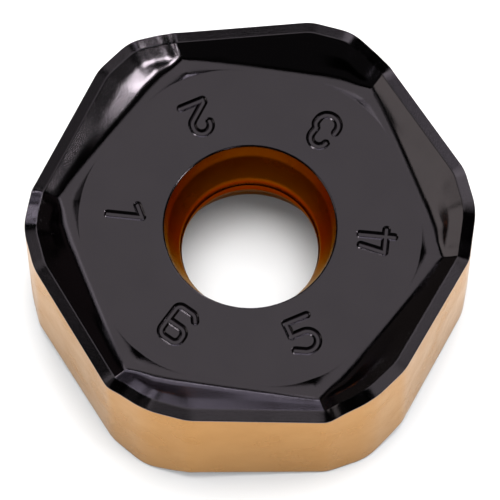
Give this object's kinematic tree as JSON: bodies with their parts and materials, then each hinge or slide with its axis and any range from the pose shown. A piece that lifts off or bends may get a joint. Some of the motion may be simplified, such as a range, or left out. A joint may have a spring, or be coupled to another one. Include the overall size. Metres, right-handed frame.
{
  "type": "hexagonal indexable milling insert",
  "caption": "Double-sided hexagonal carbide milling insert with sloping cutting edges, chip grooves, flat seats, numbered corners and a countersunk screw hole.",
  "frame": {"origin": "on the hole's axis, in the plane of the lower face's highest cutting edges, which the insert rests on", "axes": "+Z along the hole's axis, out of the upper face; +X through the corner that carries numeral 4; -Y through the middle of a side"},
  "size_m": [0.017, 0.016, 0.007],
  "materials": {
    "coated_carbide": "blasted black coating on both faces, bright gold coating on the ground flanks and in the hole"
  },
  "bodies": {
    "root": {"insert": "coated_carbide"}
  },
  "joints": []
}
